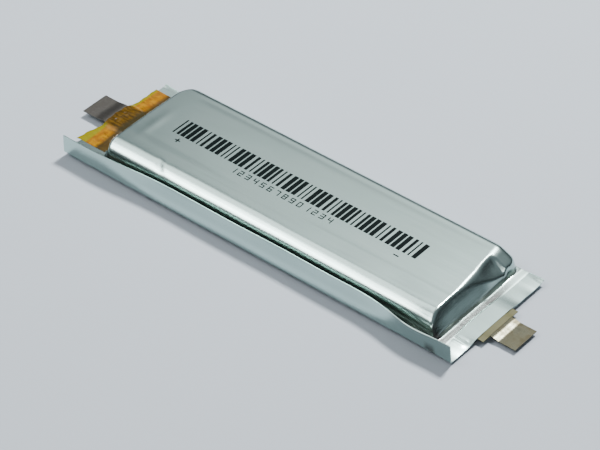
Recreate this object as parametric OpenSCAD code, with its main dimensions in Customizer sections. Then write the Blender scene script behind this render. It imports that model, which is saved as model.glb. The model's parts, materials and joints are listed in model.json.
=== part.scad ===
// Wound lithium-ion pouch cell with a terminal tab at each end.
// The cell lies on its belly: +X runs to the negative end, +Y to the folded long edge, +Z up.
// The origin is on the surface that it lies on, under the middle of its outline.

/* [Pouch] */
// Length of the pouch over both end seals
pouch_length = 141; // [140:1:160]
// Width over the folded edge and the standing side seal
pouch_width = 43; // [40:0.5:50]
// Thickness at the flat top
cell_thickness = 8; // [8:0.1:9.6]
// Height of the seal plane over the surface
seal_height = 1.4; // [1:0.1:1.8]
// Thickness of the aluminium laminate
laminate = 0.15; // [0.1:0.01:0.2]
// Depth of each end seal, from the body's foot to the edge
end_seal = 8; // [7:0.5:10]
// Width of the flat strip between the body's foot and the side seal's fold
side_ledge = 4.2; // [3.5:0.1:5]
// Height of the standing side seal above the seal plane
side_seal_height = 6.2; // [4:0.1:6.2]
// How far the side seal runs on past the positive end's edge
side_seal_overrun = 1.8; // [0:0.1:2.5]

/* [Tabs] */
// Width of each tab
tab_width = 10; // [6:0.5:12]
// Thickness of each tab
tab_thickness = 0.2; // [0.1:0.05:0.2]
// How far each tab steps down past its bend line
terminal_drop = 0.4; // [0:0.1:0.6]
// Reach of each tab past the pouch's edge
tab_reach = 10.5; // [8:0.5:14]
// Middle of the positive tab across the cell
positive_tab_y = 1; // [-3:0.5:3]
// Middle of the negative tab across the cell
negative_tab_y = -1.5; // [-3:0.5:3]
// Width of the sealing films on each tab
film_width = 16; // [14:0.5:18]
// Thickness of one sealing film
film = 0.1; // [0.05:0.01:0.1]
// Reach of the negative tab's films past the pouch's edge
film_reach = 2; // [1:0.1:3]

/* [Tape over the positive tab] */
// Reach of the tape past the pouch's edge
tape_overhang = 1.7; // [1:0.1:2]
// Thickness of the tape
tape = 0.06; // [0.04:0.01:0.08]
// Near end of the tape across the cell
tape_near_y = -15.5; // [-17:0.5:-12]
// Far end of the tape across the cell
tape_far_y = 18; // [14:0.5:20]

/* [Wound core] */
// Number of turns
turns = 7; // [3:1:7]
// Coated thickness of each electrode
electrode = 0.18; // [0.1:0.01:0.18]
// Thickness of each separator
separator = 0.025; // [0.015:0.005:0.025]
// Length of the core along the cell
core_length = 114; // [90:1:114]
// Length of each tab inside the core
tab_in_core = 30; // [10:1:50]

/* [Print] */
// Middle of the bar pattern along the cell
print_x = -3.5; // [-8:0.5:8]
// Middle of the bar pattern across the cell
print_y = 3.5; // [0:0.5:6]
// Length of the bar pattern
bars_length = 90; // [60:1:95]
// Height of the bar pattern
bars_height = 7; // [4:0.5:9]
// How many digits stand under the bars
digit_count = 14; // [4:1:16]

/* [Hidden] */
$fn = 32;

// Outline of the pouch
end_x = pouch_length / 2;
far_y = pouch_width / 2;
flap = 2 * laminate;
fold_y = -far_y + flap / 2;
fold_gap = 0.11;
ply_gap = 0.2;
base_edge_y = fold_y + flap / 2 + fold_gap;
cup_edge_y = base_edge_y + ply_gap;

// Body: its foot on the seal plane, and how its walls lean and round over
foot_x = end_x - end_seal;
foot_y = fold_y + side_ledge;
end_lean = 2.1;
end_round = 1.2;
near_lean = 1;
near_round = 3.6;
far_round = 2.2;
belly_slope = 1.7;
corner_round = 3;
arc_steps = 6;
overlap = 1;

// Layers at a tab, from the seal plane up
film_top_flat = seal_height + 2 * film;
tab_bottom = seal_height + film;
tab_top = tab_bottom + tab_thickness;
film_top = tab_top + film;
tab_room = 0.05;
lift_run = 0.45;
film_inset = 0.3;

// The positive tab is folded back over the seal, and the nickel strip lies on it
returned_gap = 0.05;
returned_length = 6.5;
strip_gap = 0.01;
strip_inset = 0.5;
returned_bottom = film_top + laminate + returned_gap;
fold_radius = (returned_bottom - tab_top) / 2;
fold_x = -end_x - 0.6;
returned_end_x = fold_x + returned_length;
strip_bottom = returned_bottom + tab_thickness + strip_gap;
strip_end_x = returned_end_x + strip_inset;

// Bend lines of the free ends
bend_run = 0.6;
positive_bend_x = -end_x - tape_overhang - bend_run;
negative_bend_x = end_x + film_reach + bend_run;
bend_gap = 0.04;
drop_run = 2.5;

// Tape over the positive tab
tape_gap = 0.005;
tape_ramp = 0.6;
tape_ease = 0.1;
tape_foot_gap = 0.4;

// Wound core: the tabs lie in the middle of the cell's thickness, inside the first turn
tab_z = cell_thickness / 2;
slack = 0.005;
tape_in_core = 0.05;
pitch = 2 * electrode + 2 * separator + 4 * slack;
core_slot = tab_thickness + 2 * tape_in_core + 3 * slack;
core_start = (core_slot - pitch / 2) / 2;
core_z = tab_z - pitch / 4;
core_top = core_z + core_start + electrode + 2 * separator + 3 * slack + pitch * (turns + 0.5);
core_near_room = 5.35;
core_far_room = 4.25;
core_near_y = foot_y + core_near_room;
core_far_y = far_y - core_far_room;
core_half_flat = (core_far_y - core_near_y) / 2;
core_mid_y = (core_far_y + core_near_y) / 2;
arc_points = 8;
tab_exit = 0.4;
anode_margin = 0.6;
cathode_margin = 1.2;
weld_tape_margin = 1;
weld_tape_past = 2;
core_tape_size = [12, 22];

// Print
ink = 0.02;
bar_steps = 98;
marks_gap = 2.2;
marks_y = print_y - bars_height / 2 - marks_gap;
plus_inset = 4;
minus_inset = 5;
bar_swing = 2.9;
gap_swing = 1.5;
bar_turn = 73;
mark_size = 1.8;
mark_line = 0.4;
digit_size = [1.5, 2.2];
digit_line = 0.3;
digit_pitch = 2.75;
digits_shift = -1.5;

// Points of an arc about c with radius r, from angle a to b
function arc(c, r, a, b, steps = arc_steps) =
    [for (i = [0:steps]) c + r * [cos(a + (b - a) * i / steps), sin(a + (b - a) * i / steps)]];

// Closed outline of a strip that follows a line and is t thick upwards
function raised_strip(line, t) =
    concat([for (p = line) p + [0, t]], [for (i = [len(line) - 1:-1:0]) line[i]]);

// Width of the pouch's section, inset by t from its outside
function across(t) = concat(
    [[far_y - t, seal_height]],
    arc([far_y - far_round, cell_thickness - far_round], far_round - t, 0, 90),
    arc([foot_y + near_lean + near_round, cell_thickness - near_round], near_round - t, 90, 180),
    [[foot_y + t, seal_height], [foot_y + belly_slope + t, t], [far_y - belly_slope - t, t]]
);

// Length of the pouch's section, inset by t from its outside
function along(t) = concat(
    [[foot_x - t, seal_height]],
    arc([foot_x - end_lean - end_round, cell_thickness - end_round], end_round - t, 0, 90),
    arc([-foot_x + end_lean + end_round, cell_thickness - end_round], end_round - t, 90, 180),
    [[-foot_x + t, seal_height], [-foot_x + belly_slope + t, t], [foot_x - belly_slope - t, t]]
);

// Plan of the pouch's body, inset by t from its outside
function plan(t) = concat(
    arc([foot_x - corner_round, far_y - corner_round], corner_round - t, 0, 90),
    arc([-foot_x + corner_round, far_y - corner_round], corner_round - t, 90, 180),
    arc([-foot_x + corner_round, foot_y + corner_round], corner_round - t, 180, 270),
    arc([foot_x - corner_round, foot_y + corner_round], corner_round - t, 270, 360)
);

// How far each layer over a tab is lifted, across the cell
function lift(y, flat, top) = let (w = film_width / 2, c = tab_width / 2 + tab_room) [
    [y - w, flat], [y - c - lift_run, flat], [y - c, top],
    [y + c, top], [y + c + lift_run, flat], [y + w, flat]
];

// Underside of the cup's flange at a tab, from the near edge to the far edge
function cup_underside(y) = concat(
    [[cup_edge_y, seal_height], [y - film_width / 2 - lift_run, seal_height]],
    lift(y, film_top_flat, film_top),
    [[y + film_width / 2 + lift_run, seal_height], [far_y, seal_height]]
);

// Line of the positive tab along the cell, from inside the core to its folded-back end
function positive_line() = concat(
    [[-core_length / 2 + tab_in_core, tab_z], [-core_length / 2 - tab_exit, tab_z],
     [-foot_x + overlap, (tab_bottom + tab_top) / 2]],
    arc([fold_x, (tab_top + returned_bottom) / 2], fold_radius + tab_thickness / 2, 270, 90),
    [[returned_end_x, returned_bottom + tab_thickness / 2]]
);

// Line of the negative tab along the cell, from inside the core to its bend line
function negative_line() = [
    [core_length / 2 - tab_in_core, tab_z], [core_length / 2 + tab_exit, tab_z],
    [foot_x - overlap, (tab_bottom + tab_top) / 2],
    [negative_bend_x - tab_thickness / 2 - bend_gap, (tab_bottom + tab_top) / 2]
];

// Unit normal at point i of a line, halfway between its two stretches' normals
function turn_left(v) = [-v[1], v[0]] / norm(v);
function normal_at(line, i) = let (
    a = turn_left(line[max(i, 1)] - line[max(i, 1) - 1]),
    b = turn_left(line[min(i, len(line) - 2) + 1] - line[min(i, len(line) - 2)])
) (a + b) / (1 + a * b);

// Closed outline of a strip of thickness t centred on a line
function centred_strip(line, t) = concat(
    [for (i = [0:len(line) - 1]) line[i] + normal_at(line, i) * t / 2],
    [for (i = [len(line) - 1:-1:0]) line[i] - normal_at(line, i) * t / 2]
);

// Point of the flattened spiral: half-turn number half, a fraction f of the way round its bend
function spiral_point(depth, half, f, mirrored = false) = let (
    right = half % 2 == 0,
    side = (right ? 1 : -1) * (mirrored ? -1 : 1),
    angle = (right ? -90 : 90) + 180 * f,
    r = core_start + depth + pitch * (half + f) / 2
) [core_mid_y + side * core_half_flat, core_z] + r * [cos(angle), sin(angle)];

// Flattened spiral at a depth inside each turn, with a flat run before its first bend and after its last
function spiral(depth, first, last) = concat(
    [spiral_point(depth, first, 0, true)],
    [for (half = [first:last]) for (i = [0:arc_points]) spiral_point(depth, half, i / arc_points)],
    [spiral_point(depth, last, 1, true)]
);

// Closed outline of one wound strip between two half-turns
function wound(depth, t, first, last) = let (
    outer = spiral(depth + t, first, last),
    inner = spiral(depth, first, last)
) concat(outer, [for (i = [len(inner) - 1:-1:0]) inner[i]]);

// Solids drawn in the cell's section and pushed along X, in its side view and pushed along Y
module push_x(points, x0, x1) {
    translate([x0, 0, 0]) rotate([90, 0, 90]) linear_extrude(height = x1 - x0) polygon(points);
}

module push_y(points, y0, y1) {
    translate([0, y1, 0]) rotate([90, 0, 0]) linear_extrude(height = y1 - y0) polygon(points);
}

// The closed pillow inside which the pouch's body lies, inset by t
module pillow(t) {
    intersection() {
        push_x(across(t), -end_x, end_x);
        push_y(along(t), -far_y, far_y);
        linear_extrude(height = cell_thickness + 1) polygon(plan(t));
    }
}

module keep_over(z0, z1) {
    intersection() {
        children();
        translate([-end_x, -far_y, z0]) cube([2 * end_x, 2 * far_y, z1 - z0]);
    }
}

// Rectangle of laminate between two corners, its underside at z
module laminate_sheet(x0, x1, y0, y1, z) {
    translate([x0, y0, z]) cube([x1 - x0, y1 - y0, laminate]);
}

// Room for a tab and its films under the cup's flange
module tab_channel(y, x0, x1) {
    line = cup_underside(y);
    push_x(concat(line, [[far_y, seal_height - 0.01], [cup_edge_y, seal_height - 0.01]]), x0, x1);
}

module pouch_cup() {
    color("silver")
    difference() {
        union() {
            keep_over(seal_height, cell_thickness) pillow(0);
            laminate_sheet(-end_x, end_x, cup_edge_y, foot_y + overlap, seal_height);
            push_x(raised_strip(cup_underside(positive_tab_y), laminate), -end_x, -foot_x + overlap);
            push_x(raised_strip(cup_underside(negative_tab_y), laminate), foot_x - overlap, end_x);
        }
        pillow(laminate);
        tab_channel(positive_tab_y, -foot_x - 0.2, -foot_x + 2 * overlap);
        tab_channel(negative_tab_y, foot_x - 2 * overlap, foot_x + 0.2);
    }
}

module pouch_base() {
    sheet_z = seal_height - laminate;
    color("lightgray")
    difference() {
        union() {
            keep_over(0, seal_height) pillow(0);
            laminate_sheet(-end_x, end_x, base_edge_y, foot_y + overlap, sheet_z);
            laminate_sheet(-end_x, -foot_x + overlap, base_edge_y, far_y, sheet_z);
            laminate_sheet(foot_x - overlap, end_x, base_edge_y, far_y, sheet_z);
        }
        pillow(laminate);
    }
}

// The long edge seal, folded up on its hinge line
module side_seal_flap() {
    start_x = -end_x - side_seal_overrun;
    length = end_x - start_x;
    color("silver")
    union() {
        translate([start_x, fold_y, seal_height]) rotate([0, 90, 0]) cylinder(r = flap / 2, h = length);
        translate([start_x, fold_y - flap / 2, seal_height]) cube([length, flap, side_seal_height]);
    }
}

module positive_tab() {
    color("gainsboro")
    push_y(centred_strip(positive_line(), tab_thickness),
           positive_tab_y - tab_width / 2, positive_tab_y + tab_width / 2);
}

module positive_extension_strip() {
    x0 = positive_bend_x + tab_thickness / 2 + bend_gap;
    color("dimgray")
    translate([x0, positive_tab_y - tab_width / 2, strip_bottom])
        cube([strip_end_x - x0, tab_width, tab_thickness]);
}

// Free end of a tab: it turns about a rounded edge on its bend line, steps down and then runs flat
module free_end(bend_x, y, z, tip_x) {
    r = tab_thickness / 2;
    outward = sign(tip_x - bend_x);
    flat_z = z - terminal_drop;
    line = [[bend_x, z], [bend_x + outward * drop_run, flat_z], [tip_x, flat_z]];
    union() {
        translate([bend_x, y + tab_width / 2, z]) rotate([90, 0, 0]) cylinder(r = r, h = tab_width);
        push_y(centred_strip(line, tab_thickness), y - tab_width / 2, y + tab_width / 2);
    }
}

module positive_terminal() {
    color("dimgray")
    free_end(positive_bend_x, positive_tab_y, strip_bottom + tab_thickness / 2, -end_x - tab_reach);
}

module negative_tab() {
    color("darkkhaki")
    push_y(centred_strip(negative_line(), tab_thickness),
           negative_tab_y - tab_width / 2, negative_tab_y + tab_width / 2);
}

module negative_terminal() {
    color("darkkhaki")
    free_end(negative_bend_x, negative_tab_y, (tab_bottom + tab_top) / 2, end_x + tab_reach);
}

// Sealing films: the upper one steps over the tab, the lower one is flat
module film_upper(y, x0, x1) {
    color("whitesmoke")
    push_x(raised_strip(lift(y, seal_height + film, tab_top), film), x0, x1);
}

module film_lower(y, x0, x1) {
    color("whitesmoke")
    translate([x0, y - film_width / 2, seal_height]) cube([x1 - x0, film_width, film]);
}

module positive_film_upper() { film_upper(positive_tab_y, -end_x - film_inset, -foot_x - film_inset); }

module positive_film_lower() { film_lower(positive_tab_y, -end_x - film_inset, -foot_x - film_inset); }

module negative_film_upper() { film_upper(negative_tab_y, foot_x + film_inset, end_x + film_reach); }

module negative_film_lower() { film_lower(negative_tab_y, foot_x + film_inset, end_x + film_reach); }

// Tape over the end seal that steps up over the folded-back tab and the nickel strip
module insulation_tape() {
    low = seal_height + laminate + tape_gap;
    on_film = low + 2 * film;
    high = strip_bottom + tab_thickness + tape_gap;
    c = tab_width / 2 + tab_room;
    w = film_width / 2 + lift_run;
    y = positive_tab_y;
    line = [[tape_near_y, low], [y - w - tape_ramp, low], [y - w - tape_ease, on_film],
            [y - c - 2 * tape_ramp, on_film], [y - c, high], [y + c, high], [y + c + 2 * tape_ramp, on_film],
            [y + w + tape_ease, on_film], [y + w + tape_ramp, low], [tape_far_y, low]];
    color("orange")
    push_x(raised_strip(line, tape), -end_x - tape_overhang, -foot_x - tape_foot_gap);
}

module wound_strip(depth, t, first, last, length) {
    push_x(wound(depth, t, first, last), -length / 2, length / 2);
}

module separator_inner() {
    color("white") wound_strip(0, separator, 0, 2 * turns, core_length);
}

module anode_strip() {
    color("peru") wound_strip(separator + slack, electrode, 0, 2 * turns - 1, core_length - 2 * anode_margin);
}

module separator_outer() {
    color("ivory") wound_strip(separator + electrode + 2 * slack, separator, 0, 2 * turns, core_length);
}

module cathode_strip() {
    color("darkslategray")
    wound_strip(2 * separator + electrode + 3 * slack, electrode, 1, 2 * turns - 1,
                core_length - 2 * cathode_margin);
}

// Two patches of tape, one on each face of a tab's welded part
module weld_tape(y, x0, x1) {
    for (z = [tab_z + tab_thickness / 2, tab_z - tab_thickness / 2 - tape_in_core])
        translate([x0, y - tab_width / 2 - weld_tape_margin, z])
            cube([x1 - x0, tab_width + 2 * weld_tape_margin, tape_in_core]);
}

module positive_weld_tape() {
    color("goldenrod")
    weld_tape(positive_tab_y, -core_length / 2 + weld_tape_margin,
              -core_length / 2 + tab_in_core + weld_tape_past);
}

module negative_weld_tape() {
    color("goldenrod")
    weld_tape(negative_tab_y, core_length / 2 - tab_in_core - weld_tape_past,
              core_length / 2 - weld_tape_margin);
}

// Tape that holds the last turn of the core down
module core_tape(i) {
    color("seagreen")
    translate([(i - 2) * core_length / 3, core_mid_y, core_top] - [core_tape_size[0], core_tape_size[1], 0] / 2)
        cube([core_tape_size[0], core_tape_size[1], tape_in_core]);
}

// Width, in steps, of bar or gap number i, and how many steps come before it
function bar_width(i) = 1 + floor((i % 2 == 0 ? bar_swing : gap_swing) * abs(sin(bar_turn * i)));
function steps_before(i) = i == 0 ? 0 : steps_before(i - 1) + bar_width(i - 1);

// Upright bars of uneven widths
module bar_print() {
    step = bars_length / steps_before(bar_steps + 1);
    start_x = print_x - bars_length / 2;
    color("black")
    for (i = [0:2:bar_steps])
        translate([start_x + steps_before(i) * step, print_y - bars_height / 2, cell_thickness])
            cube([bar_width(i) * step, bars_height, ink]);
}

// Stroke of ink, w by h about a middle point on the flat top
module stroke(x, y, w, h) {
    translate([x - w / 2, y - h / 2, cell_thickness]) cube([w, h, ink]);
}

// A cross under the bars' positive end and a dash under their negative end
module polarity_print() {
    plus_x = print_x - bars_length / 2 + plus_inset;
    minus_x = print_x + bars_length / 2 - minus_inset;
    color("black") {
        stroke(plus_x, marks_y, mark_size, mark_line);
        stroke(plus_x, marks_y, mark_line, mark_size);
        stroke(minus_x, marks_y, mark_size, mark_line);
    }
}

// Strokes of each digit: a top, b and c right, d bottom, e and f left, g middle
function strokes(digit) = [
    "abcdef", "bc", "abdeg", "abcdg", "bcfg", "acdfg", "acdefg", "abc", "abcdefg", "abcdfg"
][digit];

module digit_stroke(name, x) {
    w = digit_size[0] - digit_line;
    h = digit_size[1] - digit_line;
    half = h / 2 + digit_line;
    if (name == "a") stroke(x, marks_y + h / 2, digit_size[0], digit_line);
    if (name == "b") stroke(x + w / 2, marks_y + h / 4, digit_line, half);
    if (name == "c") stroke(x + w / 2, marks_y - h / 4, digit_line, half);
    if (name == "d") stroke(x, marks_y - h / 2, digit_size[0], digit_line);
    if (name == "e") stroke(x - w / 2, marks_y - h / 4, digit_line, half);
    if (name == "f") stroke(x - w / 2, marks_y + h / 4, digit_line, half);
    if (name == "g") stroke(x, marks_y, digit_size[0], digit_line);
}

// Digits that count up from one
module number_print() {
    color("black")
    for (i = [0:digit_count - 1])
        for (name = strokes((i + 1) % 10))
            digit_stroke(name, print_x + digits_shift + (i - (digit_count - 1) / 2) * digit_pitch);
}

pouch_cup();
pouch_base();
side_seal_flap();
positive_tab();
positive_extension_strip();
positive_terminal();
negative_tab();
negative_terminal();
positive_film_upper();
positive_film_lower();
negative_film_upper();
negative_film_lower();
insulation_tape();
cathode_strip();
anode_strip();
separator_inner();
separator_outer();
positive_weld_tape();
negative_weld_tape();
for (i = [1:3]) core_tape(i);
bar_print();
polarity_print();
number_print();
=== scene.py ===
"""Looks of a lithium-ion pouch cell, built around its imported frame. Lengths are in metres."""

import json
import math

import bmesh
import bpy
import numpy as np
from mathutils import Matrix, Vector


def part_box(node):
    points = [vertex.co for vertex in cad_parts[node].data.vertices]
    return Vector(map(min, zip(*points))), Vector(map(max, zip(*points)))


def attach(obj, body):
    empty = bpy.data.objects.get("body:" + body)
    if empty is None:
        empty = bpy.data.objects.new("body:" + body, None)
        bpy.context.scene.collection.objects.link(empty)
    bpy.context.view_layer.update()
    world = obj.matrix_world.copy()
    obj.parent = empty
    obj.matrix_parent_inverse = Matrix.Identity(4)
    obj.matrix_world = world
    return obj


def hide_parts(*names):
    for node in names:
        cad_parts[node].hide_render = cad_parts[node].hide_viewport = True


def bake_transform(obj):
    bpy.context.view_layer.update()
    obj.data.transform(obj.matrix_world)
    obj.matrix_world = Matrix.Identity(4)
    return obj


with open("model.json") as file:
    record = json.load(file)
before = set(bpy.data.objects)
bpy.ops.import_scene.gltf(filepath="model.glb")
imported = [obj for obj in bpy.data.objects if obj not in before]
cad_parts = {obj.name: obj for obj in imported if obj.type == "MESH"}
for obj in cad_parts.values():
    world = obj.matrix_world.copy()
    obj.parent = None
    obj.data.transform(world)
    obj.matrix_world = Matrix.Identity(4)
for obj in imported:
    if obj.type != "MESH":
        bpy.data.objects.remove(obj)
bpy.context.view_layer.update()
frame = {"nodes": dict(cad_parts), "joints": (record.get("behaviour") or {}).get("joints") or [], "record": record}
MM = 0.001
JOINTS = {joint["name"]: joint for joint in frame["joints"]}

# ---------------------------------------------------------------- sizes that the frame gives
CUP_LO, CUP_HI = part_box("pouch_cup")
FLAP_LO, FLAP_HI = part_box("side_seal_flap")
END_X = CUP_HI.x
FAR_Y = CUP_HI.y
TOP_Z = CUP_HI.z
SEAL_Z = CUP_LO.z
FOLD_Y = JOINTS["side_seal_fold"]["pos_m"][1]
FLAP_HEIGHT = FLAP_HI.z - SEAL_Z
POSITIVE_BEND = JOINTS["positive_tab_bend"]["pos_m"]
NEGATIVE_BEND = JOINTS["negative_tab_bend"]["pos_m"]
POSITIVE_Y = POSITIVE_BEND[1]
NEGATIVE_Y = NEGATIVE_BEND[1]
METAL = 0.2 * MM  # thickness of both tab strips
TIP_DROP = {
    "positive": POSITIVE_BEND[2] - (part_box("positive_terminal")[0].z + METAL / 2),
    "negative": NEGATIVE_BEND[2] - (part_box("negative_terminal")[0].z + METAL / 2),
}

# ---------------------------------------------------------------- the pouch's own shape
LAMINATE = 0.145 * MM
FOOT_X = END_X - 8 * MM  # foot of the end walls
FOOT_Y = FOLD_Y + 4.2 * MM  # foot of the near shoulder
FLANGE_Z = SEAL_Z + LAMINATE
WALL = TOP_Z - FLANGE_Z
WALL_MM = WALL / MM
NEAR_SHOULDER = 6.2 * MM
FAR_SHOULDER = 2.6 * MM
SHOULDER_POWER = 0.9  # below 1, so the near shoulder is fuller than a quarter ellipse
ROLL_SLOPE = 1.75  # rise of the right wall's foot, per unit inwards
COLUMN_STEEPER = 2.6  # added to that slope at the right wall's far corner
FACET_SLOPE = 0.95
COLUMN_FACET = 0.33  # taken off the facet's slope at the far corner
FACET_REACH = 4.0  # mm that the facet runs in from the foot
FACET_SLANT = 0.11
LEFT_SLOPE = 2.9
TOP_ROUND = 0.14
LEFT_TOP_ROUND = 2.2 * TOP_ROUND
FOOT_ROUND = 0.03
GUTTER_DEPTH = 0.42 * MM
BELLY_SLOPE = 1.7 * MM
SLANT = 1.8 * MM  # how far the left cut edge runs out past the square
CUP_BEND = 0.3 * MM
BASE_BEND = 0.4 * MM
FLAP_BOTTOM = 0.09  # share of the side seal's height where its quarter bend starts
TAB_HALF = 5.0 * MM
FILM_HALF = 8.0 * MM
FILM = 0.1 * MM
FILM_START = FOOT_X + 2.3 * MM
TAPE = 0.06 * MM
INK_LIFT = 0.02 * MM
SHARP_ANGLE = math.radians(50)
MERGE = 2e-6  # points nearer than this become one


# ---------------------------------------------------------------- small maths
def smooth_step(v, low, high):
    """0 below low, 1 above high, and a smooth rise between them."""
    t = np.clip((v - low) / (high - low), 0, 1)
    return t * t * (3 - 2 * t)


def smooth_min(a, b, k):
    """The lower of a and b, rounded over where they come within k of each other."""
    t = np.clip(0.5 + 0.5 * (b - a) / k, 0, 1)
    return b * (1 - t) + a * t - k * t * (1 - t)


def hill(v, middle, width):
    """A bell of height 1 about middle."""
    return np.exp(-(((v - middle) / width) ** 2))


def window(v, low, high, edge):
    """1 between low and high, falling to 0 over edge on both sides."""
    return smooth_step(v, low - edge, low) * (1 - smooth_step(v, high, high + edge))


def steps(*stops):
    """Positions along a line: each (start, end, count) adds count even steps."""
    runs = [np.linspace(a, b, n, endpoint=False) for a, b, n in stops]
    return np.concatenate(runs + [[stops[-1][1]]])


# ---------------------------------------------------------------- mesh makers
def new_piece(name, bm, smooth=True):
    """A mesh object from bm, which it frees."""
    mesh = bpy.data.meshes.new(name)
    bmesh.ops.recalc_face_normals(bm, faces=bm.faces)
    bm.to_mesh(mesh)
    bm.free()
    for polygon in mesh.polygons:
        polygon.use_smooth = smooth
    mesh.set_sharp_from_angle(angle=SHARP_ANGLE)
    piece = bpy.data.objects.new(name, mesh)
    bpy.context.scene.collection.objects.link(piece)
    return piece


def sheet(x, y, z, thickness):
    """A closed thin sheet. Its outer face is the grid of points x, y, z, and thickness grows behind it."""
    rows, columns = x.shape
    points = np.stack([x, y, z], axis=-1)
    along = np.gradient(points, axis=1)
    across = np.gradient(points, axis=0)
    normal = np.cross(along, across)
    normal /= np.maximum(np.linalg.norm(normal, axis=-1, keepdims=True), 1e-12)
    back = points - normal * thickness
    bm = bmesh.new()
    front_verts = [[bm.verts.new(p) for p in row] for row in points]
    back_verts = [[bm.verts.new(p) for p in row] for row in back]
    for i in range(rows - 1):
        for j in range(columns - 1):
            for layer in (front_verts, back_verts):
                bm.faces.new((layer[i][j], layer[i][j + 1], layer[i + 1][j + 1], layer[i + 1][j]))
    rim = [(0, j) for j in range(columns)]
    rim += [(i, columns - 1) for i in range(1, rows)]
    rim += [(rows - 1, j) for j in range(columns - 2, -1, -1)]
    rim += [(i, 0) for i in range(rows - 2, -1, -1)]
    for (i, j), (m, n) in zip(rim, rim[1:]):
        bm.faces.new((front_verts[i][j], front_verts[m][n], back_verts[m][n], back_verts[i][j]))
    bmesh.ops.remove_doubles(bm, verts=bm.verts, dist=MERGE)
    return bm


# ---------------------------------------------------------------- how the pouch's surface runs
def corner_inset(past, radius):
    """How far a rounded corner draws in, at a distance past its start. It stops short of square."""
    return radius * (1 - np.sqrt(1 - 0.98 * np.clip(past / radius, 0, 1) ** 2))


def right_wall(inward, y):
    """Height of the right end wall: a steep roll, a slanting facet over it and a far column. It takes mm."""
    far = corner_inset(y - 17.5, 4.0)
    near = corner_inset(FOOT_Y / MM + 3.0 - y, 3.0)
    column = smooth_step(y, 14.0, 16.0)
    bulge = 0.55 * smooth_step(y, 4, 14) * (1 - column)
    slope = ROLL_SLOPE + bulge + COLUMN_STEEPER * column
    roll = slope * (inward - (0.35 + 0.45 * column) * far - 0.4 * near) / WALL_MM
    reach = FACET_REACH + FACET_SLANT * (y - 0.8)
    facet = 1 - (FACET_SLOPE - COLUMN_FACET * column) * (reach - inward + 0.3 * far) / WALL_MM
    hollow = smooth_step(y, 6.5, 12.5) * (1 - column) * hill(inward, FACET_REACH, 2.0)
    return smooth_min(roll, facet - 0.10 * hollow, 0.06 + 0.30 * column)


def left_wall(inward, y):
    """Height of the left end wall, which is steep and turns round wide corners. It takes mm."""
    far = corner_inset(y - 14.5, 7.0)
    near = corner_inset(FOOT_Y / MM + 5.0 - y, 5.0)
    pinch = 0.10 * hill(inward, 1.4, 0.8) * (hill(y, 9, 3) + hill(y, -8, 2.5))
    return LEFT_SLOPE * (inward - far - near) / WALL_MM - pinch


def end_height(x, y):
    """Height of the end walls over the flange, where the body's height is 1. It rises past 1 further in."""
    inward = (FOOT_X - np.abs(x)) / MM
    return np.where(x > 0, right_wall(inward, y / MM), left_wall(inward, y / MM))


def top_creases(x, y):
    """Soft dents and ridges of the top, in metres. The numbers are heights and places in mm."""
    x, y = x / MM, y / MM
    crown = -0.16 * ((y - 3) / 17) ** 2 - 0.08 * (x / 58) ** 4
    right_ridge = 0.07 * hill(y, -7.2 + 0.012 * x, 0.9) * window(x, 12, 57, 12)
    right_dents = -0.10 * hill(y, -9.4, 1.6) * hill(x, 44, 9) - 0.07 * hill(y, -9.8, 1.2) * hill(x, 24, 8)
    left_dent = -0.05 * hill(y, -8.0, 1.2) * window(x, -48, 4, 14)
    left_ridge = 0.04 * hill(y, -5.2, 1.0) * window(x, -54, -26, 8)
    far_dent = -0.03 * hill(y, 17.6, 1.2) * window(x, -48, 50, 8)
    press = 0.05 * hill(x, -55, 1.4) * hill(y, 0, 6)
    return (crown + right_ridge + right_dents + (left_dent + left_ridge) + far_dent + press) * MM


def shoulder_creases(x, y):
    """A pinch, slow waves and a droop along the near shoulder, in metres."""
    x, y = x / MM, y / MM
    slanting = x + 0.9 * (y + 14)
    pinch = -0.20 * hill(slanting, -41, 1.1) * hill(y, -13.9, 1.3)
    pinch += 0.07 * hill(slanting, -38.9, 1.3) * hill(y, -13.4, 1.6)
    waves = 0.05 * np.sin(x / 5.3) * np.sin(x / 12.1 + 1) * hill(y, -14.5, 2.2)
    droop = -0.35 * hill(x, 60, 5) * hill(y, -15.5, 2.6)
    return (pinch + waves + droop) * MM


def flange_lift(x, y):
    """How far the end flanges rise over the tabs and their films, in metres."""
    from_tab = np.abs(y - np.where(x > 0, NEGATIVE_Y, POSITIVE_Y))
    started = smooth_step(np.abs(x), FILM_START - 0.15 * MM, FILM_START + 0.25 * MM)
    over_tab = 1 - smooth_step(from_tab, TAB_HALF + 0.1 * MM, TAB_HALF + (1.9 + 3.4 * started) * MM)
    over_film = 1 - smooth_step(from_tab, FILM_HALF - 0.1 * MM, FILM_HALF + 4.6 * MM)
    return (0.22 * over_tab + 0.2 * over_film * started) * MM


def gutter(x, y):
    """How far the right end flange dips towards the body's foot, short of its far corner."""
    share = np.clip((FILM_START - 0.1 * MM - x) / (FILM_START - FOOT_X), 0, 1)
    depth = GUTTER_DEPTH * (1 - smooth_step(y, 10 * MM, 17 * MM))
    return -depth * share * smooth_step(x, FOOT_X - 1.2 * MM, FOOT_X)


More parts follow.
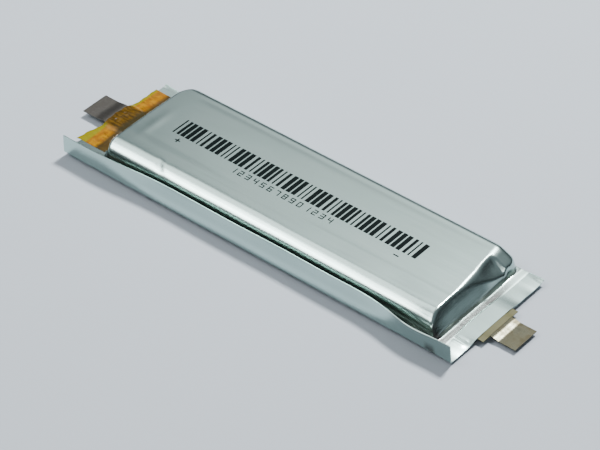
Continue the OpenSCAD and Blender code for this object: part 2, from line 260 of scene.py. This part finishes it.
def flange_curl(x, y):
    """How both layers of the end flanges wave, droop and curl, in metres. The numbers are in mm."""
    out = np.clip((np.abs(x) - FOOT_X) / (END_X - FOOT_X), 0, 1)
    x, y = x / MM, y / MM
    clear_of_tab = smooth_step(np.abs(y - np.where(x > 0, NEGATIVE_Y, POSITIVE_Y) / MM), 6.5, 10)
    right_droop = -0.16 * window(y, 13.5, 16, 5.5) - 0.45 * smooth_step(-y, 8, 15)
    left_rise = 0.35 * smooth_step(y, 10, 21) + 0.3 * smooth_step(y, 19.5, 21.5)
    far_corner = 0.4 * smooth_step(y, 19.4, 21.6) * smooth_step(out, 0, 1) * (x > 0)
    waves = 0.07 * np.sin(y / 1.9 + 1) + 0.04 * np.sin(y / 0.9)
    wrinkles = 0.10 * hill(y, -12.2, 0.55) + 0.08 * hill(y, -14.0, 0.6) - 0.07 * hill(y, -13.1, 0.5)
    shape = (np.where(x > 0, right_droop, left_rise) + waves * clear_of_tab) * out**1.6 + far_corner
    return (shape + wrinkles * window(x, 66, 68.5, 1.6)) * MM + gutter(x * MM, y * MM)


def slanted(x, y):
    """x, moved where the left cut edge runs out past the square towards the near side."""
    near = smooth_step(-y, 3 * MM, 15 * MM)
    return x - SLANT * near * smooth_step(-x, FOOT_X, END_X)


def flap_lean(x):
    """How far the top of the side seal leans: inwards in the middle, outwards near the right end."""
    x = x / MM
    return (1.5 * window(x, -35, 34, 26) - 1.15 * hill(x, 57, 9) - 0.5 * hill(x, 72, 6)) * MM


def flap_point(x, height, offset):
    """Point of the side seal at a share of its height, offset in y from its middle plane."""
    trim = 1 - 0.05 * hill(x / MM, 58, 9) - 0.03 * hill(x / MM, -66, 5)
    wave = 0.10 * MM * np.sin(x / MM / 6.1) * height**2
    y = FOLD_Y + offset + flap_lean(x) * height**1.6 + wave
    return y, SEAL_Z + FLAP_HEIGHT * height * trim + flange_curl(x, FOLD_Y) * (1 - height)


def body_height(x, y, share, scaled=False):
    """Height of the body over the flange, where its cross-section's height is share, from 0 to 1."""
    walls = end_height(x, y)
    rounding = np.where(x > 0, TOP_ROUND, LEFT_TOP_ROUND)
    if scaled:
        height = share * smooth_min(np.ones_like(x), walls, rounding)
    else:
        height = smooth_min(share + 0 * x, walls, rounding * max(share, 0.02))
    return np.minimum(-smooth_min(-height, 0 * height, FOOT_ROUND), 1)


def cup_height(x, y, inside):
    """Height of the cup's face, where inside is the body's height over the flange, from 0 to 1."""
    on_top = smooth_step(inside, 0.55, 0.98)
    on_flange = 1 - smooth_step(inside, 0, 0.2)
    z = FLANGE_Z + WALL * inside + top_creases(x, y) * on_top + shoulder_creases(x, y) * inside
    return z + (flange_lift(x, y) + flange_curl(x, y)) * on_flange


def pouch_columns():
    """Positions along the pouch, close together at the end walls."""
    left = [(-END_X, -FOOT_X, 26), (-FOOT_X, -FOOT_X + 5 * MM, 24)]
    middle = [(-FOOT_X + 5 * MM, FOOT_X - 9 * MM, 130)]
    right = [(FOOT_X - 9 * MM, FOOT_X, 42), (FOOT_X, FILM_START + MM, 16), (FILM_START + MM, END_X, 14)]
    return steps(*left, *middle, *right)


def flap_rows(xs, offset):
    """Rows of one face of the side seal, from its cut edge down to its fold."""
    return [(xs, *flap_point(xs, height, offset)) for height in np.linspace(1, FLAP_BOTTOM, 16)]


def fold_rows(xs, centre_y, centre_z, radius):
    """Rows round the quarter bend between the side seal and the ledge."""
    rows = []
    droop = flange_curl(xs, FOLD_Y)
    for angle in np.radians(np.linspace(180, 270, 6)):
        y = centre_y + radius * math.cos(angle) + 0 * xs
        rows.append((xs, y, centre_z + radius * math.sin(angle) + droop))
    return rows


def body_row(xs, y, share, scaled=False):
    """Row of the body's upper half, where share is the height of its cross-section, from 0 to 1."""
    y = y + 0 * xs
    return xs, y, cup_height(xs, y, body_height(xs, y, share, scaled))


def flange_row(xs, y):
    """Row of the cup where it lies flat on the seal."""
    y = y + 0 * xs
    return xs, y, cup_height(xs, y, 0 * xs)


def grid_of(rows):
    """Arrays of x, y and z from rows of points, with the left edge cut on its slant."""
    x, y, z = (np.array([row[i] for row in rows]) for i in range(3))
    return slanted(x, y), y, z


def cup_surface():
    """Grid of the cup's outer face: side seal, ledge, near shoulder, top and far wall."""
    xs = pouch_columns()
    bend_end = FOLD_Y + LAMINATE + CUP_BEND
    rows = flap_rows(xs, LAMINATE)
    rows += fold_rows(xs, bend_end, FLANGE_Z + CUP_BEND, CUP_BEND)
    rows += [flange_row(xs, y) for y in np.linspace(bend_end, FOOT_Y, 8)[1:-1]]
    for angle in np.linspace(0, math.pi / 2, 26):
        y = FOOT_Y + NEAR_SHOULDER * (1 - math.cos(angle) ** SHOULDER_POWER)
        rows.append(body_row(xs, y, math.sin(angle) ** SHOULDER_POWER))
    flat_start, flat_end = FOOT_Y + NEAR_SHOULDER, FAR_Y - FAR_SHOULDER
    flat = steps((flat_start, flat_end - 7 * MM, 40), (flat_end - 7 * MM, flat_end, 28))
    rows += [body_row(xs, y, 1.0) for y in flat[1:]]
    for angle in np.linspace(0, math.pi / 2, 10)[1:]:
        y = FAR_Y - FAR_SHOULDER * (1 - math.sin(angle))
        rows.append(body_row(xs, y, 1 - FAR_SHOULDER * (1 - math.cos(angle)) / WALL, scaled=True))
    far_wall = np.linspace(1 - FAR_SHOULDER / WALL, 0, 7)[1:]
    rows += [body_row(xs, FAR_Y, share, scaled=True) for share in far_wall]
    return grid_of(rows)


def belly_row(xs, y):
    """Row of the shallow belly under the seal plane."""
    near = smooth_step(y, FOOT_Y, FOOT_Y + BELLY_SLOPE)
    far = 1 - smooth_step(y, FAR_Y - BELLY_SLOPE, FAR_Y)
    ends = 1 - smooth_step(np.abs(xs), FOOT_X - BELLY_SLOPE, FOOT_X)
    y = y + 0 * xs
    return xs, y, (SEAL_Z - LAMINATE) * (1 - near * far * ends) + flange_curl(xs, y)


def base_surface():
    """Grid of the base's outer face: side seal, ledge, belly and far edge."""
    xs = pouch_columns()
    bend_end = FOLD_Y - LAMINATE + BASE_BEND
    rows = flap_rows(xs, -LAMINATE)
    rows += fold_rows(xs, bend_end, SEAL_Z - LAMINATE + BASE_BEND, BASE_BEND)
    stops = (bend_end, FOOT_Y, FOOT_Y + 2 * BELLY_SLOPE, FAR_Y - 2 * BELLY_SLOPE, FAR_Y)
    for start, end, count in zip(stops, stops[1:], (7, 12, 30, 12)):
        rows += [belly_row(xs, y) for y in np.linspace(start, end, count)[1:]]
    return grid_of(rows)


def dress(piece, slot, *nodes):
    """Gives a piece the material of its slot and hides the nodes that it stands in for."""
    piece.data.materials.append(MATERIALS[slot])
    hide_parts(*nodes)


def make_pouch():
    """The cup and the base, each a laminate sheet that runs up into the side seal."""
    cup = new_piece("cup_laminate", sheet(*cup_surface(), LAMINATE))
    base = new_piece("base_laminate", sheet(*base_surface(), -LAMINATE))
    dress(cup, "laminate", "pouch_cup")
    dress(base, "laminate", "pouch_base", "side_seal_flap")
    for piece in (cup, base):
        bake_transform(piece)


# ---------------------------------------------------------------- tabs, films, tape and print
def strip_piece(name, xs, top, y_mid):
    """A metal strip across y_mid whose top face follows the heights top at the positions xs."""
    ys = y_mid + np.linspace(-TAB_HALF, TAB_HALF, 15)
    x = xs[None, :] + 0 * ys[:, None]
    y = ys[:, None] + 0 * x
    z = top[None, :] + 0 * x
    return new_piece(name, sheet(x, y, z, METAL))


def make_positive_strip():
    """The nickel strip from under the tape to its free end, which droops."""
    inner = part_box("positive_extension_strip")[1].x
    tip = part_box("positive_terminal")[0].x
    bend = POSITIVE_BEND[0]
    xs = steps((tip, bend - 3 * MM, 16), (bend - 3 * MM, bend + MM, 32), (bend + MM, inner, 24))
    top = POSITIVE_BEND[2] + METAL / 2 + 0 * xs
    top -= TIP_DROP["positive"] * smooth_step(bend - xs, -0.4 * MM, 3.6 * MM)
    strip = strip_piece("positive_strip", xs, top, POSITIVE_Y)
    dress(strip, "nickel_strip", "positive_extension_strip", "positive_terminal")
    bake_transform(strip)


def make_negative_strip():
    """The negative tab from inside the core, out through the seal, to its free end."""
    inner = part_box("negative_tab")[0].x
    core_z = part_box("negative_tab")[1].z
    seal_top = NEGATIVE_BEND[2] + METAL / 2
    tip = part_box("negative_terminal")[1].x
    bend = NEGATIVE_BEND[0]
    inside = [(inner, FOOT_X - 6 * MM, 20), (FOOT_X - 6 * MM, FOOT_X, 24), (FOOT_X, bend - MM, 24)]
    xs = steps(*inside, (bend - MM, bend + 3 * MM, 32), (bend + 3 * MM, tip, 16))
    top = core_z + (seal_top - core_z) * smooth_step(xs, FOOT_X - 5.1 * MM, FOOT_X - 1 * MM)
    top -= TIP_DROP["negative"] * smooth_step(xs - bend, 0.2 * MM, 2.6 * MM)
    top += gutter(xs, 0 * xs)
    strip = strip_piece("negative_strip", xs, top, NEGATIVE_Y)
    dress(strip, "nickel_tab", "negative_tab", "negative_terminal")
    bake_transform(strip)


def film_section():
    """Outline and slot of the film's cross-section, as lists of (y, z)."""
    beside_tab = TAB_HALF + 0.6 * MM
    across = np.concatenate([np.linspace(-FILM_HALF, -beside_tab, 5),
                             np.linspace(-TAB_HALF, TAB_HALF, 9),
                             np.linspace(beside_tab, FILM_HALF, 5)])
    over_tab = 1 - smooth_step(np.abs(across), TAB_HALF, TAB_HALF + 0.5 * MM)
    slot = np.clip(across, -TAB_HALF - 0.05 * MM, TAB_HALF + 0.05 * MM)
    middle = SEAL_Z + FILM
    outer = list(zip(across, SEAL_Z + 2 * FILM + METAL * over_tab))
    outer += list(zip(across[::-1], SEAL_Z + 0 * across))
    inner = list(zip(slot, middle + METAL * over_tab))
    inner += list(zip(slot[::-1], middle + 0 * slot))
    return outer, inner


def film_sleeve(name, start, end, y_mid, nodes):
    """Sealing film round a tab: two layers that meet beside it, with the tab's slot between them."""
    outer, inner = film_section()
    bm = bmesh.new()
    rings = []
    for x in np.linspace(start, end, 12):
        rings.append([[bm.verts.new((x, y_mid + y, z)) for y, z in loop] for loop in (outer, inner)])
    count = len(outer)
    for near, far in zip(rings, rings[1:]):
        for a, b in zip(near, far):
            for i in range(count):
                j = (i + 1) % count
                bm.faces.new((a[i], a[j], b[j], b[i]))
    for outer_ring, inner_ring in (rings[0], rings[-1]):
        for i in range(count):
            j = (i + 1) % count
            bm.faces.new((outer_ring[i], outer_ring[j], inner_ring[j], inner_ring[i]))
    bmesh.ops.remove_doubles(bm, verts=bm.verts, dist=MERGE)
    sleeve = new_piece(name, bm, smooth=False)
    dress(sleeve, "tab_film", *nodes)
    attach(sleeve, "cell")


WELD_MARKS = ((-69.9, -1.1), (-69.9, 2.7))  # x and y in mm
TAPE_NEAR_GAP = 1.3 * MM  # the tape stops this far short of its node's near end


def tape_height(x, y):
    """Height of the tape's face. It lies on the flange and tents over the strip and its weld marks."""
    edge_x = np.maximum(x, -END_X)
    low = FLANGE_Z + flange_lift(edge_x, y) + flange_curl(edge_x, y) + TAPE + 0.02 * MM
    high = POSITIVE_BEND[2] + METAL / 2 + TAPE + 0.1 * MM
    from_strip = np.abs(y - POSITIVE_Y)
    on_strip = 1 - smooth_step(from_strip, TAB_HALF + 0.1 * MM, TAB_HALF + 1.9 * MM)
    sag = 0.25 * MM * smooth_step(-x, END_X, END_X + 2 * MM) * (1 - on_strip)
    x, y = x / MM, y / MM
    folds = 0.05 * np.sin(2.1 * y + 0.9 * x) * hill(np.abs(y - POSITIVE_Y / MM), 6.3, 1.6)
    folds += 0.025 * np.sin(1.3 * x - 0.8 * y) + 0.02 * np.sin(3.7 * y + 1.1 * x + 2)
    from_welds = [np.hypot(x - weld_x, y - weld_y) for weld_x, weld_y in WELD_MARKS]
    rims = sum(0.09 * hill(distance, 0.75, 0.3) for distance in from_welds)
    pits = sum(-0.07 * hill(distance, 0, 0.55) for distance in from_welds)
    return low + (high - low) * on_strip - sag + (folds + (rims + pits)) * MM


def make_tape():
    """Amber tape across the end seal, the folded tab and the strip's root."""
    lo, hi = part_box("insulation_tape")
    ys = np.linspace(lo.y + TAPE_NEAR_GAP, hi.y, 120)[:, None]
    share = np.linspace(0, 1, 44)[None, :]
    y_mm = ys / MM
    overhang = 1.0 + 0.7 * smooth_step(-y_mm, 5, 9) + 0.7 * hill(y_mm, 1, 5.5) + 0.12 * np.sin(y_mm * 1.7)
    outer = -END_X - overhang * MM
    inner = -FOOT_X - 0.35 * MM
    x = outer + (inner - outer) * share
    y = ys + 0 * x
    tape = new_piece("end_tape", sheet(slanted(x, y), y, tape_height(x, y), TAPE))
    dress(tape, "amber_tape", "insulation_tape")
    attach(tape, "cell")


LONG_EDGE = 1.6 * MM  # longer edges of the print are cut up, so that it follows the top


def make_print(name, node):
    """The print of one node, laid on the uneven top."""
    bm = bmesh.new()
    bm.from_mesh(frame["nodes"][node].data)
    for vert in bm.verts:
        vert.co.x, vert.co.y, vert.co.z = round(vert.co.x, 7), round(vert.co.y, 7), round(vert.co.z, 7)
    bmesh.ops.remove_doubles(bm, verts=bm.verts, dist=1e-6)
    bmesh.ops.dissolve_limit(bm, angle_limit=0.01, verts=bm.verts, edges=bm.edges)
    long_edges = [edge for edge in bm.edges if edge.calc_length() > LONG_EDGE]
    bmesh.ops.subdivide_edges(bm, edges=long_edges, cuts=7, use_grid_fill=True)
    for vert in bm.verts:
        x, y = np.array(vert.co.x), np.array(vert.co.y)
        vert.co.z += float(cup_height(x, y, body_height(x, y, 1.0))) - TOP_Z + INK_LIFT
    ink = new_piece(name, bm, smooth=False)
    dress(ink, "ink", node)
    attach(ink, "cell")


def make_fittings():
    """Everything on the pouch: strips, films, tape and print."""
    make_positive_strip()
    make_negative_strip()
    film_sleeve("positive_film", -END_X - 0.3 * MM, -FILM_START, POSITIVE_Y,
                ("positive_film_upper", "positive_film_lower"))
    film_sleeve("negative_film", FILM_START, END_X + 2 * MM, NEGATIVE_Y,
                ("negative_film_upper", "negative_film_lower"))
    make_tape()
    make_print("bar_ink", "bar_print")
    make_print("polarity_ink", "polarity_print")
    make_print("digit_ink", "number_print")


# ---------------------------------------------------------------- materials
class Paint:
    """One material's node tree, with positions in mm and factors from 0 to 1."""

    def __init__(self, name):
        self.material = bpy.data.materials.new(name)
        self.material.use_nodes = True
        self.tree = self.material.node_tree
        self.tree.nodes.clear()
        self.shader = self.node("ShaderNodeBsdfPrincipled")
        output = self.node("ShaderNodeOutputMaterial")
        self.link(self.shader.outputs[0], output.inputs["Surface"])
        place = self.node("ShaderNodeTexCoord")
        scale = self.node("ShaderNodeVectorMath", operation="SCALE")
        scale.inputs["Scale"].default_value = 1 / MM
        self.link(place.outputs["Object"], scale.inputs[0])
        self.place = scale.outputs[0]

    def node(self, kind, **settings):
        """A new node with its settings."""
        made = self.tree.nodes.new(kind)
        for name, value in settings.items():
            setattr(made, name, value)
        return made

    def link(self, source, target):
        self.tree.links.new(source, target)

    def set(self, **values):
        """Sets the shader's own sockets, with spaces in their names written as underscores."""
        for name, value in values.items():
            self.shader.inputs[name.replace("_", " ")].default_value = value

    def noise(self, scale, stretch=(1, 1, 1), detail=3.0, roughness=0.5):
        """Noise in cycles per millimetre, stretched along the axes."""
        mapping = self.node("ShaderNodeMapping")
        mapping.inputs["Scale"].default_value = stretch
        self.link(self.place, mapping.inputs["Vector"])
        noise = self.node("ShaderNodeTexNoise")
        noise.inputs["Scale"].default_value = scale
        noise.inputs["Detail"].default_value = detail
        noise.inputs["Roughness"].default_value = roughness
        self.link(mapping.outputs[0], noise.inputs["Vector"])
        return noise.outputs["Fac"]

    def ranged(self, value, low, high, start=0.0, end=1.0):
        """value, moved from start..end to low..high."""
        ranged = self.node("ShaderNodeMapRange")
        ranged.inputs["From Min"].default_value = start
        ranged.inputs["From Max"].default_value = end
        ranged.inputs["To Min"].default_value = low
        ranged.inputs["To Max"].default_value = high
        self.link(value, ranged.inputs["Value"])
        return ranged.outputs["Result"]

    def mixed(self, value, first, second):
        """Colour between first and second. Each is a colour or a socket."""
        mix = self.node("ShaderNodeMix", data_type="RGBA")
        self.link(value, mix.inputs["Factor"])
        for socket, colour in (("A", first), ("B", second)):
            target = [i for i in mix.inputs if i.name == socket and i.type == "RGBA"][0]
            if isinstance(colour, tuple):
                target.default_value = (*colour, 1)
            else:
                self.link(colour, target)
        return [o for o in mix.outputs if o.type == "RGBA"][0]

    def band(self, axis, low, high, edge):
        """1 where the position along axis lies between low and high, in mm, fading out over edge."""
        place = self.axis(axis)
        return self.maths("MULTIPLY", self.ranged(place, 0, 1, low - edge, low),
                          self.ranged(place, 1, 0, high, high + edge))

    def zone(self, **bands):
        """1 where the point lies in the band of every axis named. Each is (low, high, edge) in mm."""
        inside = 1.0
        for axis, limits in bands.items():
            inside = self.maths("MULTIPLY", inside, self.band(axis, *limits))
        return inside

    def maths(self, operation, first, second):
        """Socket with the result of operation on two numbers or sockets."""
        node = self.node("ShaderNodeMath", operation=operation)
        for socket, value in zip(node.inputs, (first, second)):
            if isinstance(value, (int, float)):
                socket.default_value = value
            else:
                self.link(value, socket)
        return node.outputs[0]

    def axis(self, name):
        """Position along X, Y or Z in mm."""
        split = self.node("ShaderNodeSeparateXYZ")
        self.link(self.place, split.inputs[0])
        return split.outputs[name]

    def bump(self, height, depth_mm):
        """Fine relief from a height socket."""
        bump = self.node("ShaderNodeBump")
        bump.inputs["Distance"].default_value = depth_mm * MM
        self.link(height, bump.inputs["Height"])
        self.link(bump.outputs[0], self.shader.inputs["Normal"])

    def colour(self, socket):
        self.link(socket, self.shader.inputs["Base Color"])

    def rough(self, socket):
        self.link(socket, self.shader.inputs["Roughness"])


def recess_shade(paint):
    """How strongly painted shade darkens the laminate at the right wall's foot and on the ledge by the side seal.
    """
    foot_x, foot_y, fold_y, seal_z = FOOT_X / MM, FOOT_Y / MM, FOLD_Y / MM, SEAL_Z / MM
    wall_foot = paint.zone(X=(foot_x - 0.2, foot_x + 1.7, 1.2), Z=(seal_z - 0.6, seal_z + 0.8, 2.6))
    less_on_floor = paint.ranged(paint.axis("Z"), 1, 0.35, seal_z + 0.6, seal_z + 0.1)
    ledge = paint.zone(Y=(fold_y + 1.55, foot_y + 0.75, 1.4), Z=(seal_z - 0.6, seal_z + 2.8, 2.4),
                       X=(-foot_x - 1, foot_x + 1, 2))
    return paint.maths("ADD", paint.maths("MULTIPLY", wall_foot, less_on_floor), ledge)


def laminate_paint():
    """Satin aluminium under a thin clear skin, with fine rolling lines, soft handling marks and painted shade in
    its recesses.
    """
    paint = Paint("laminate")
    grain = paint.noise(1.6, stretch=(0.03, 1, 1), detail=2)
    cloud = paint.noise(0.06, detail=2)
    marks = paint.noise(0.11, stretch=(0.45, 1, 1), detail=1.5)
    tint = paint.mixed(cloud, (0.45, 0.59, 0.555), (0.485, 0.635, 0.595))
    lined = paint.mixed(paint.ranged(grain, 0, 0.08), tint, (0.39, 0.50, 0.475))
    # painted shade in the recesses: the laminate turns dark grey at the wall's foot and on the ledge
    shade = paint.maths("MULTIPLY", recess_shade(paint), 0.85)
    shaded = paint.mixed(shade, lined, (0.125, 0.118, 0.108))
    # the gutter's floor by the right wall's foot: the whole of it is made rougher, and most of it gets painted
    # shade
    gutter_floor = paint.zone(X=(FOOT_X / MM + 0.8, FILM_START / MM - 0.2, 0.8),
                              Z=(SEAL_Z / MM - 0.6, SEAL_Z / MM + 0.3, 0.3))
    # painted shade: the gutter's floor turns dark grey, fading out towards the far corner
    gutter_painted_shade = paint.maths("MULTIPLY", gutter_floor, paint.band("Y", -18, 8, 9))
    paint.colour(paint.mixed(gutter_painted_shade, shaded, (0.15, 0.155, 0.15)))
    satin = paint.ranged(grain, 0.19, 0.23)
    paint.rough(paint.maths("ADD", satin, paint.maths("MULTIPLY", gutter_floor, 0.45)))
    paint.bump(paint.maths("ADD", marks, paint.maths("MULTIPLY", grain, 0.0007)), 0.04)
    paint.set(Metallic=1.0, Coat_Weight=0.12, Coat_Roughness=0.2)
    return paint.material


def metal_paint(name, light, dark, roughness):
    """Rolled strip metal with fine lines along it and dull stains."""
    paint = Paint(name)
    lines = paint.noise(3.0, stretch=(0.05, 1, 1), detail=3)
    stains = paint.noise(0.28, detail=4, roughness=0.6)
    paint.colour(paint.mixed(paint.ranged(stains, 0, 1, 0.38, 0.62), light, dark))
    paint.rough(paint.ranged(stains, roughness - 0.05, roughness + 0.08, 0.3, 0.7))
    paint.bump(lines, 0.002)
    paint.set(Metallic=1.0)
    return paint.material


def tape_paint():
    """Amber polyimide tape: brown over the strip, yellow-green past the seal, with painted shade by the body's
    foot.
    """
    paint = Paint("amber_tape")
    clouds = paint.noise(0.5, detail=3)
    streaks = paint.noise(0.8, stretch=(0.5, 1.6, 1), detail=4, roughness=0.65)
    patches = paint.ranged(clouds, 0, 1, 0.35, 0.65)
    amber = paint.mixed(patches, (0.25, 0.115, 0.0002), (0.165, 0.058, 0.0002))
    amber = paint.mixed(paint.ranged(streaks, 0, 0.8, 0.52, 0.68), amber, (0.07, 0.034, 0.0004))
    brown_lines = paint.ranged(streaks, 0, 1, 0.4, 0.6)
    brown = paint.mixed(brown_lines, (0.075, 0.038, 0.001), (0.028, 0.015, 0.0006))
    from_strip = paint.maths("ABSOLUTE", paint.maths("SUBTRACT", paint.axis("Y"), POSITIVE_Y / MM), 0)
    over_strip = paint.ranged(from_strip, 1, 0, TAB_HALF / MM, TAB_HALF / MM + 1.2)
    hanging = paint.ranged(paint.axis("X"), 1, 0, -END_X / MM - 0.3, -END_X / MM + 0.3)
    greener = paint.mixed(hanging, amber, (0.15, 0.13, 0.002))
    # painted shade: the tape's inner end turns near-black by the body's foot
    shade_by_foot = paint.ranged(paint.axis("X"), 0, 0.9, -FOOT_X / MM - 4.9, -FOOT_X / MM - 3.5)
    paint.colour(paint.mixed(shade_by_foot, paint.mixed(over_strip, greener, brown), (0.02, 0.016, 0.005)))
    paint.rough(paint.ranged(clouds, 0.2, 0.3))
    paint.bump(paint.noise(0.9, detail=3), 0.06)
    paint.set(Specular_IOR_Level=0.22)
    return paint.material


def plastic_paint(name, light, dark, roughness, grain=1.5, depth=0.01, **settings):
    """Plastic film or coating with a fine grain."""
    paint = Paint(name)
    fine = paint.noise(grain, detail=4)
    broad = paint.noise(0.15, detail=2)
    paint.colour(paint.mixed(broad, light, dark))
    paint.rough(paint.ranged(fine, roughness - 0.07, roughness + 0.07))
    paint.bump(fine, depth)
    paint.set(**settings)
    return paint.material


def make_materials():
    """One material for each slot of the record."""
    return {
        "laminate": laminate_paint(),
        "aluminium_tab": metal_paint("aluminium_tab", (0.78, 0.79, 0.79), (0.66, 0.67, 0.67), 0.35),
        "nickel_strip": metal_paint("nickel_strip", (0.165, 0.157, 0.142), (0.095, 0.09, 0.08), 0.33),
        "nickel_tab": metal_paint("nickel_tab", (0.074, 0.074, 0.052), (0.034, 0.031, 0.019), 0.27),
        "tab_film": plastic_paint("tab_film", (0.105, 0.102, 0.046), (0.072, 0.070, 0.030), 0.4,
                                  grain=3.0, depth=0.04, Specular_IOR_Level=0.12),
        "amber_tape": tape_paint(),
        "cathode_coating": plastic_paint("cathode_coating", (0.03, 0.03, 0.035), (0.05, 0.05, 0.055), 0.85),
        "anode_coating": plastic_paint("anode_coating", (0.05, 0.05, 0.055), (0.08, 0.08, 0.085), 0.75),
        "separator": plastic_paint("separator", (0.86, 0.86, 0.84), (0.92, 0.92, 0.90), 0.6),
        "core_tape": plastic_paint("core_tape", (0.03, 0.30, 0.14), (0.02, 0.22, 0.10), 0.25),
        "ink": plastic_paint("ink", (0.001, 0.003, 0.003), (0.002, 0.005, 0.005), 0.55,
                             grain=3.0, Specular_IOR_Level=0.03),
    }


def paint_frame():
    """Gives every carried-over node the material of its slot."""
    slots = {entry["node"]: entry["material_slot"] for entry in frame["record"]["subparts"]}
    for name, node in frame["nodes"].items():
        node.data.materials.clear()
        node.data.materials.append(MATERIALS[slots[name]])


# ---------------------------------------------------------------- floor, light and camera
def make_floor():
    """A plain pale floor with a faint unevenness."""
    bm = bmesh.new()
    half = 2.5
    corners = [(-half, -half, 0), (half, -half, 0), (half, half, 0), (-half, half, 0)]
    bm.faces.new([bm.verts.new(c) for c in corners])
    floor = new_piece("floor", bm, smooth=False)
    paint = Paint("floor")
    fine = paint.noise(0.8, detail=4)
    paint.colour(paint.mixed(paint.noise(0.01), (0.325, 0.365, 0.405), (0.345, 0.385, 0.425)))
    paint.rough(paint.ranged(fine, 0.75, 0.9))
    paint.bump(fine, 0.02)
    floor.data.materials.append(paint.material)


def make_light(name, place, size, power):
    """A soft rectangle of light at place that faces the middle of the cell."""
    data = bpy.data.lights.new(name, "AREA")
    data.shape = "RECTANGLE"
    data.size, data.size_y = size
    data.energy = power
    light = bpy.data.objects.new(name, data)
    light.location = place
    towards = -light.location
    light.rotation_euler = towards.to_track_quat("-Z", "Y").to_euler()
    bpy.context.scene.collection.objects.link(light)


def make_lights():
    """A key behind the cell, a broad dim panel by it, and soft lights overhead, near left and near right."""
    make_light("key_behind", (-0.05, 0.55, 0.85), (0.17, 0.17), 26)
    make_light("back_panel", (-0.35, 0.69, 0.86), (0.62, 0.5), 0.8)
    make_light("overhead", (-0.50, 0.10, 0.92), (0.45, 0.45), 1.6)
    make_light("soft_left", (-0.54, -0.33, 0.90), (0.40, 0.30), 3.4)
    make_light("near_left", (-0.54, -0.58, 0.76), (0.40, 0.30), 4.6)
    make_light("front_right", (0.66, -0.50, 0.56), (0.3, 0.3), 0.9)


def sky_ramp(tree, value, start, end, low, high):
    """Socket that goes from low to high as value goes from start to end."""
    ramp = tree.nodes.new("ShaderNodeMapRange")
    ramp.inputs["From Min"].default_value = start
    ramp.inputs["From Max"].default_value = end
    ramp.inputs["To Min"].default_value = low
    ramp.inputs["To Max"].default_value = high
    tree.links.new(value, ramp.inputs["Value"])
    return ramp.outputs["Result"]


def sky_maths(tree, operation, first, second):
    """Socket with the result of operation on two sockets."""
    node = tree.nodes.new("ShaderNodeMath")
    node.operation = operation
    tree.links.new(first, node.inputs[0])
    tree.links.new(second, node.inputs[1])
    return node.outputs[0]


def make_dome():
    """A dome that brightens upwards, with a soft glow low down towards +x and -y."""
    world = bpy.data.worlds.new("studio")
    world.use_nodes = True
    tree = world.node_tree
    place = tree.nodes.new("ShaderNodeTexCoord")
    split = tree.nodes.new("ShaderNodeSeparateXYZ")
    tree.links.new(place.outputs["Generated"], split.inputs[0])
    above = sky_ramp(tree, split.outputs["Z"], 0.2, 0.6, 0.04, 0.36)
    aside = sky_maths(tree, "SUBTRACT", split.outputs["X"], split.outputs["Y"])
    glow = sky_ramp(tree, aside, 0.8, 1.3, 0.0, 0.3)
    background = tree.nodes["Background"]
    background.inputs["Color"].default_value = (0.55, 0.60, 0.66, 1)
    tree.links.new(sky_maths(tree, "ADD", above, glow), background.inputs["Strength"])
    bpy.context.scene.world = world


def make_camera():
    """Three-quarter view from above, as through a long lens."""
    azimuth = math.radians(39.6)
    elevation = math.radians(40.0)
    distance = 0.7706
    data = bpy.data.cameras.new("camera")
    data.sensor_width = 36
    data.lens = 162.2
    data.shift_x = -0.005
    camera = bpy.data.objects.new("camera", data)
    back = (
        math.sin(azimuth) * math.cos(elevation),
        -math.cos(azimuth) * math.cos(elevation),
        math.sin(elevation),
    )
    target = (3.3 * MM, -2.5 * MM, SEAL_Z)
    camera.location = [t + distance * b for t, b in zip(target, back)]
    camera.rotation_euler = (math.pi / 2 - elevation, 0, azimuth)
    bpy.context.scene.collection.objects.link(camera)
    bpy.context.scene.camera = camera


MATERIALS = make_materials()
paint_frame()
make_pouch()
make_fittings()
make_floor()
make_lights()
make_dome()
make_camera()
